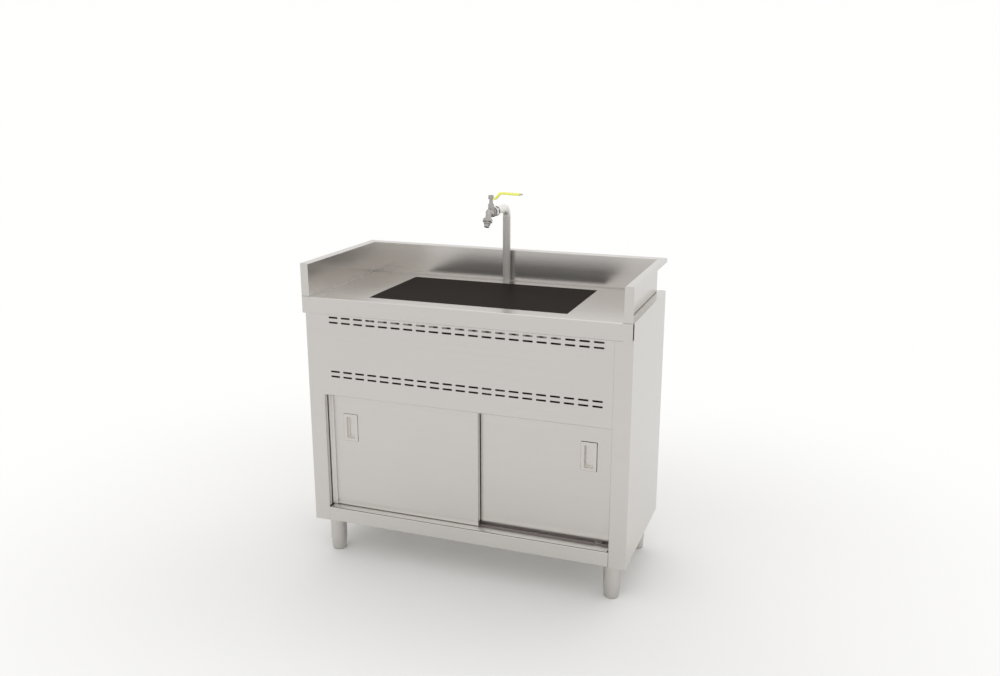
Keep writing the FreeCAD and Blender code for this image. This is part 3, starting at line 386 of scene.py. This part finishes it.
finishes = {
    "steel_satin": sheet_steel("satin_sheet", STEEL, 0.24),
    "steel_polished": sheet_steel("pressed_bowl", colour(0.68, 0.665, 0.645), 0.18, 0.5),
    "steel_pipe": drawn_steel("drawn_pipe", PIPE_STEEL, 0.55, "Z"),
    "steel_leg": drawn_steel("turned_leg", LEG_STEEL, 0.3, "Z"),
    "track_aluminium": drawn_steel("extruded_track", colour(0.62, 0.62, 0.62), 0.34, "X"),
    "zinc_hardware": plated("bright_zinc", colour(0.64, 0.645, 0.63), 0.3),
    "tap_nickel": plated("satin_nickel", colour(0.43, 0.417, 0.40), 0.34),
    "cover_black": cover_board(),
    "rubber_black": moulded("black_rubber", colour(0.022, 0.022, 0.022), 0.62, 420.0, 0.25),
    "plastic_white": moulded("white_plastic", colour(0.78, 0.78, 0.76), 0.38, 300.0, 0.1),
    "nylon": moulded("natural_nylon", colour(0.72, 0.71, 0.65), 0.42, 380.0, 0.12),
    "strip_bright": drawn_steel("wearing_strip", colour(0.85, 0.84, 0.82), 0.34, "X"),
    "strip_matt": drawn_steel("lining_strip", colour(0.86, 0.84, 0.81), 0.6, "Z", metallic=0.45),
    "grip_yellow": moulded("dipped_yellow", colour(0.90, 0.92, 0.115), 0.32, 260.0, 0.06, coat=0.3),
}

# painted light: the walls of the pulls' cups are made lighter than the sheet
pull_steel = sheet_steel("pull_sheet", shade(STEEL, 1.02), 0.25, 0.5,
                         painted_light_mask=painted_wall_light, painted_light_change=1.38)
own_finishes = {
    # painted shade: the worktop's colour is darkened along its inside folds
    "worktop": sheet_steel("worktop_sheet", STEEL, 0.23, painted_light_mask=painted_fold_shade, painted_light_change=0.85),
    # painted highlight: the riser is made lighter over its bend
    "tap_riser": drawn_steel("riser_tube", PIPE_STEEL, 0.55, "Z",
                             painted_light_mask=painted_bend_highlight, painted_light_change=1.5),
    "tap_coupling_nut": plated("bright_nut", colour(0.72, 0.71, 0.69), 0.32),
    # painted shade: the skirt, seen through the slots, is made darker than the sheet steel for the
    # shade it lies in
    "bowl_skirt": sheet_steel("skirt_painted_shade", shade(STEEL, 0.62), 0.2, 0.3),
    "door_left_handle": pull_steel,
    "door_right_handle": pull_steel,
    "door_track_lower": drawn_steel("brown_track", colour(0.42, 0.375, 0.36), 0.55, "X",
                                    metallic=0.35),
    **dict.fromkeys(("foot_" + place for place in LEGS), turned_foot(LEG_STEEL, STUD_STEEL)),
}


def finish_nodes():
    """Gives each CAD node its own finish, or that of its slot in the record."""
    for row in frame["record"]["subparts"]:
        slots = nodes[row["node"]].data.materials
        slots.clear()
        slots.append(own_finishes.get(row["node"], finishes[row["material_slot"]]))


# ---------------------------------------------------------------- mesh tools
def as_object(name, mesh):
    """An object in the scene, made of a bmesh where it stands."""
    data = bpy.data.meshes.new(name)
    mesh.to_mesh(data)
    mesh.free()
    made = bpy.data.objects.new(name, data)
    scene.collection.objects.link(made)
    return made


def finished(name, mesh, body, slot):
    """Makes a piece of a bmesh and hands it to the body that carries it."""
    bmesh.ops.remove_doubles(mesh, verts=mesh.verts, dist=1e-6)
    bmesh.ops.recalc_face_normals(mesh, faces=mesh.faces)
    piece = as_object(name, mesh)
    piece.data.materials.append(finishes[slot])
    piece.data.shade_smooth()
    piece.data.set_sharp_from_angle(angle=CREASE)
    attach(piece, body)


def edges_of(verts):
    """The edges that meet any of some vertices, each of them once."""
    return list(dict.fromkeys(e for v in verts for e in v.link_edges))


def along(edge, axis):
    """True where an edge runs along X, Y or Z, given as 0, 1 or 2."""
    way = edge.verts[1].co - edge.verts[0].co
    return abs(way[axis]) > 0.99 * way.length


def ease(mesh, edges, offset, segments=2):
    """Rounds edges."""
    bmesh.ops.bevel(mesh, geom=edges, offset=offset, affect="EDGES", segments=segments,
                    profile=0.5, material=-1)


def block(mesh, low, high):
    """A block between two corners."""
    low, high = Vector(low), Vector(high)
    place = Matrix.Translation((low + high) / 2) @ Matrix.Diagonal((high - low).to_4d())
    return bmesh.ops.create_cube(mesh, size=1.0, matrix=place)["verts"]


def lying(place, turn):
    """Where a round form lies with its top to the front or to the rear."""
    return Matrix.Translation(place) @ Matrix.Rotation(turn, 4, "X")


def rounded_frame(mesh, low, high, corner, band):
    """A flat frame in the XZ plane: a rounded slab with its middle taken out."""
    verts = block(mesh, low, high)
    ease(mesh, [e for e in edges_of(verts) if along(e, 1)], corner, 8)
    caps = [f for f in mesh.faces if abs(f.normal.y) > 0.99]
    bmesh.ops.inset_individual(mesh, faces=caps, thickness=band)
    rims = [e for f in caps for e in f.edges]
    bmesh.ops.delete(mesh, geom=caps, context="FACES_ONLY")
    bmesh.ops.bridge_loops(mesh, edges=rims)
    bmesh.ops.recalc_face_normals(mesh, faces=mesh.faces[:])


# ---------------------------------------------------------------- legs
def leg_centre(place):
    low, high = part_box("leg_" + place)
    return (low + high) / 2


def bolt_head(mesh, seat):
    """A hexagon head on its washer, both eased around the top."""
    head_top = WASHER_HEIGHT + HEAD_HEIGHT
    for radius, sides, low, high, turn in (
            (WASHER_RADIUS, 32, 0.0, WASHER_HEIGHT, 0.0),
            (HEAD_FLATS / math.sqrt(3), 6, WASHER_HEIGHT, head_top, HEAD_TURN)):
        place = Matrix.Translation(seat + Vector((0, 0, (low + high) / 2)))
        made = bmesh.ops.create_cone(mesh, cap_ends=True, segments=sides, radius1=radius,
                                     radius2=radius, depth=high - low,
                                     matrix=place @ Matrix.Rotation(turn, 4, "Z"))
        ease(mesh, [e for e in edges_of(made["verts"])
                    if all(v.co.z > seat.z + high - 1e-5 for v in e.verts)], HEAD_EASING)


def leg_bolts():
    """Four bolts over each leg, through the base pan's corner plates."""
    for place in LEGS:
        centre = leg_centre(place)
        mesh = bmesh.new()
        for dx in (-BOLT_REACH, BOLT_REACH):
            for dy in (-BOLT_REACH, BOLT_REACH):
                bolt_head(mesh, Vector((centre.x + dx, centre.y + dy, BOLT_LEVEL)))
        finished("leg_bolts_" + place, mesh, "cabinet", "zinc_hardware")


def weld_beads():
    """The weld between each leg's tube and its plate."""
    for place in LEGS:
        centre = leg_centre(place)
        mesh = bmesh.new()
        start = (centre.x + LEG_RADIUS, centre.y, WELD_LEVEL)
        made = bmesh.ops.create_circle(mesh, segments=8, radius=WELD_BEAD,
                                       matrix=lying(start, TO_FRONT))
        bmesh.ops.spin(mesh, geom=made["verts"] + edges_of(made["verts"]),
                       cent=(centre.x, centre.y, WELD_LEVEL), axis=(0, 0, 1), dvec=(0, 0, 0),
                       angle=math.tau, steps=72, use_merge=True)
        finished("weld_bead_" + place, mesh, "cabinet", "steel_leg")


# ---------------------------------------------------------------- pulls and tap
def pull_shade_rings():
    """A thin black rubber ring on each door around its pull; the right one sits off centre, so that
    its dark shows past the top and right edges as painted shade.
    """
    for side, far in SHADE_RING_FAR.items():
        low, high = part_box(f"door_{side}_handle")
        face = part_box(f"door_{side}_skin")[0].y
        mesh = bmesh.new()
        rounded_frame(mesh, (low.x - SHADE_RING_NEAR, face - SHADE_RING_HEIGHT, low.z - SHADE_RING_NEAR),
                      (high.x + far, face - SEAT, high.z + far), SHADE_RING_CORNER, SHADE_RING_BAND)
        finished(f"pull_shade_ring_{side}", mesh, f"door_{side}", "rubber_black")


def tap_shade_rings():
    """Black rings at both ends of the tap's coupling nut: painted shade, standing for the dark gaps
    at its ends.
    """
    low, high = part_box("tap_coupling_nut")
    mesh = bmesh.new()
    for y in (low.y + RING_FRONT, high.y + RING_REAR):
        ring = bmesh.ops.create_cone(mesh, cap_ends=True, segments=48, radius1=RING_RADIUS,
                                     radius2=RING_RADIUS, depth=RING_HEIGHT,
                                     matrix=lying((0, y, (low.z + high.z) / 2), TO_FRONT))
        ease(mesh, [e for e in edges_of(ring["verts"]) if not along(e, 1)], RING_EASING, 3)
    finished("tap_shade_rings", mesh, "cabinet", "rubber_black")


# ---------------------------------------------------------------- back
def service_edging():
    """Rubber edging pushed over the sheet around the pipe opening in the back panel."""
    mesh = bmesh.new()
    rounded_frame(mesh, (-SERVICE_HALF - EDGING_OVERLAP, REAR - EDGING_OVERLAP,
                         SERVICE_LOW - EDGING_OVERLAP),
                  (SERVICE_HALF + EDGING_OVERLAP, REAR + EDGING_RISE,
                   SERVICE_HIGH + EDGING_OVERLAP), EDGING_CORNER, EDGING_BAND)
    ease(mesh, [e for e in mesh.edges if not along(e, 1) and e.is_manifold
                and e.calc_face_angle(0.0) > 1.2], EDGING_EASING)
    finished("service_edging", mesh, "cabinet", "rubber_black")


def back_rivets():
    """Low blind rivets at the back: down both sides and along the foot."""
    spots = [(sign * RIVET_X, RIVET_LOW + i * RIVET_PITCH) for sign in SIGN.values()
             for i in range(RIVET_ROWS)]
    spots += [(i * RIVET_PITCH, RIVET_LOW) for i in range(-RIVET_REACH, RIVET_REACH + 1)]
    mesh = bmesh.new()
    for x, z in spots:
        dome = bmesh.ops.create_cone(mesh, cap_ends=True, segments=20, radius1=RIVET_RADIUS,
                                     radius2=RIVET_TOP, depth=RIVET_HEIGHT,
                                     matrix=lying((x, RIVET_LEVEL, z), TO_REAR))
        ease(mesh, [e for e in edges_of(dome["verts"])
                    if all(v.co.y > RIVET_LEVEL for v in e.verts)], RIVET_EASING, 3)
    finished("back_rivets", mesh, "cabinet", "zinc_hardware")


# ---------------------------------------------------------------- doorway
def upright_by_jamb(name, side, width, depth, height, slot, segments=3):
    """An upright piece with its long edges eased; width is measured outwards from the jamb."""
    low, high = sorted(SIGN[side] * (JAMB + reach) for reach in width)
    mesh = bmesh.new()
    verts = block(mesh, (low, depth[0], height[0]), (high, depth[1], height[1]))
    ease(mesh, [e for e in edges_of(verts) if along(e, 2)], UPRIGHT_EASING, segments)
    finished(f"{name}_{side}", mesh, "cabinet", slot)


def door_pockets():
    """Behind each column a black rubber strip, painted shade for the dark line at the column's back
    edge, and a folded lining close the door's pocket.

    Only the left door runs close behind its column, so only that lining has a lip.
    """
    for side in SIGN:
        # painted shade: a black strip where the column's back edge throws its shadow
        upright_by_jamb("jamb_shade_strip", side, (0.0004, 0.0060), (COLUMN_BACK, LINING_FRONT),
                        POCKET_HEIGHTS, "rubber_black")
        upright_by_jamb("jamb_lining", side, (0.0002, 0.0170), (LINING_FRONT, LINING_BACK),
                        POCKET_HEIGHTS, "strip_bright")
        if side == "left":
            upright_by_jamb("jamb_lip", side, (-0.0125, 0.0010),
                            (LINING_BACK - LIP_HEIGHT, LINING_BACK), POCKET_HEIGHTS, "strip_matt")


def panel_seams():
    """Welds dressed back to a shallow groove, where the slotted panel meets the columns."""
    for side in SIGN:
        upright_by_jamb("panel_seam", side, (-0.0008, 0.0016),
                        (FRONT + JOINT_DEPTH, FRONT + 0.0020), (DOORWAY_TOP + END_GAP, PANEL_TOP),
                        "steel_satin", 2)


def sill_piece(name, half, depth, height, slot):
    """A thin strip on the sill, with rounded corners and an eased top."""
    mesh = bmesh.new()
    verts = block(mesh, (-half, depth[0], height[0]), (half, depth[1], height[1]))
    ease(mesh, [e for e in edges_of(verts) if along(e, 2)], SILL_CORNER, 4)
    ease(mesh, [e for e in mesh.edges if all(v.co.z > height[1] - 1e-6 for v in e.verts)],
         SILL_EASING)
    finished(name, mesh, "cabinet", slot)


def sill_strips():
    """A bright wearing strip on the sill, bedded on a black tape."""
    tape_top = SILL + TAPE_HEIGHT
    sill_piece("sill_tape", JAMB, (FRONT + JOINT_DEPTH, LINING_BACK - 0.0016),
               (SILL + SEAT, tape_top), "rubber_black")
    sill_piece("sill_strip", JAMB - 0.0042, (FRONT + 0.0025, LINING_BACK),
               (tape_top, tape_top + STRIP_HEIGHT), "strip_bright")


# ---------------------------------------------------------------- room, floor and camera
WHITE = colour(1.0, 0.998, 0.99)
FLOOR_PAINT = colour(0.955, 0.952, 0.945)
FLOOR_MIRRORED = colour(0.905, 0.903, 0.895)
FLOOR_RADIUS = 14.0
FLOOR_FADE = 1.6                     # from the unit to where the floor's shadow ends

LAMP_PLACE, LAMP_AIM = (0.0, 0.3, 3.4), (0.0, 0.0, 0.4)
LAMP_WIDTH, LAMP_POWER = 2.6, 4.0
LAMP_TINT = (1.0, 0.99, 0.97)

EYE = (1.0224, -2.6724, 1.4651)
EYE_DOWN, EYE_TURN = 14.97, 20.11    # degrees
LENS, SENSOR_WIDTH = 34.97, 36.0     # millimetres


def room_light():
    """A white room: an even sheen for what is polished, and a fill with more of its
    light from the front and the back for what is matt."""
    world = bpy.data.worlds.new("studio")
    scene.world = world
    world.use_nodes = True
    room = Tree(world.node_tree)
    way = room.add("TexCoord", {}, {}, "Generated")
    across, back, up = (way.part(axis) for axis in "XYZ")
    seen = (room.ray("Camera") + room.ray("Transmission")).clamped()
    sheen = 0.93 + 0.13 * across.rise(-0.2, 0.9) + 0.03 * up + 0.15 * up.rise(0.5, 1.0)
    fill = (1.478 - 0.409 * up.rise(0.0, 0.5) + 0.713 * back.rise(-0.3, 0.9)
            - 0.603 * back.rise(-0.9, 0.3))
    strength = room.blend(seen, room.blend(room.ray("Glossy"), fill, sheen), 1.0)
    glow = room.add("Background", {}, {"Color": WHITE, "Strength": strength})
    room.add("OutputWorld", {}, {"Surface": glow})


def studio_floor():
    """Pale floor that keeps the unit's shadow and turns to plain white further out."""
    mesh = bmesh.new()
    bmesh.ops.create_circle(mesh, cap_ends=True, segments=96, radius=FLOOR_RADIUS)
    ground = as_object("studio_floor", mesh)
    pale = Finish("pale_floor")
    spot = pale.spot()
    past_side, past_front = spot.part("X").beyond(HALF_WIDTH), spot.part("Y").beyond(REAR)
    away = (past_side * past_side + past_front * past_front).maths("SQRT")
    mirrored = pale.ray("Glossy")
    seen = (pale.ray("Camera") + mirrored + pale.ray("Transmission")).clamped()
    matt = pale.add("BsdfDiffuse", {}, {"Color": FLOOR_PAINT})
    white = pale.tint(mirrored, WHITE, FLOOR_MIRRORED)
    bright = pale.add("Emission", {}, {"Color": white, "Strength": 1.0})
    mixed = pale.add("MixShader", {}, {0: seen * away.rise(0.0, FLOOR_FADE), 1: matt, 2: bright})
    pale.add("OutputMaterial", {}, {"Surface": mixed})
    ground.data.materials.append(pale.material)


def overhead_lamp():
    """One wide soft lamp over the unit."""
    data = bpy.data.lights.new("overhead", "AREA")
    data.shape = "DISK"
    data.size = LAMP_WIDTH
    data.energy = LAMP_POWER
    data.color = LAMP_TINT
    lamp = bpy.data.objects.new("overhead", data)
    lamp.location = LAMP_PLACE
    way = Vector(LAMP_AIM) - Vector(LAMP_PLACE)
    lamp.rotation_euler = way.to_track_quat("-Z", "Y").to_euler()
    scene.collection.objects.link(lamp)


def place_camera():
    camera = bpy.data.objects.new("view_camera", bpy.data.cameras.new("view_camera"))
    camera.data.lens = LENS
    camera.data.sensor_width = SENSOR_WIDTH
    camera.location = EYE
    camera.rotation_euler = (math.radians(90 - EYE_DOWN), 0.0, math.radians(EYE_TURN))
    scene.collection.objects.link(camera)
    scene.camera = camera


# ---------------------------------------------------------------- making
place_camera()
scene.view_settings.view_transform = "Standard"
room_light()
studio_floor()
finish_nodes()
leg_bolts()
weld_beads()
pull_shade_rings()
tap_shade_rings()
service_edging()
back_rivets()
door_pockets()
panel_seams()
sill_strips()
overhead_lamp()
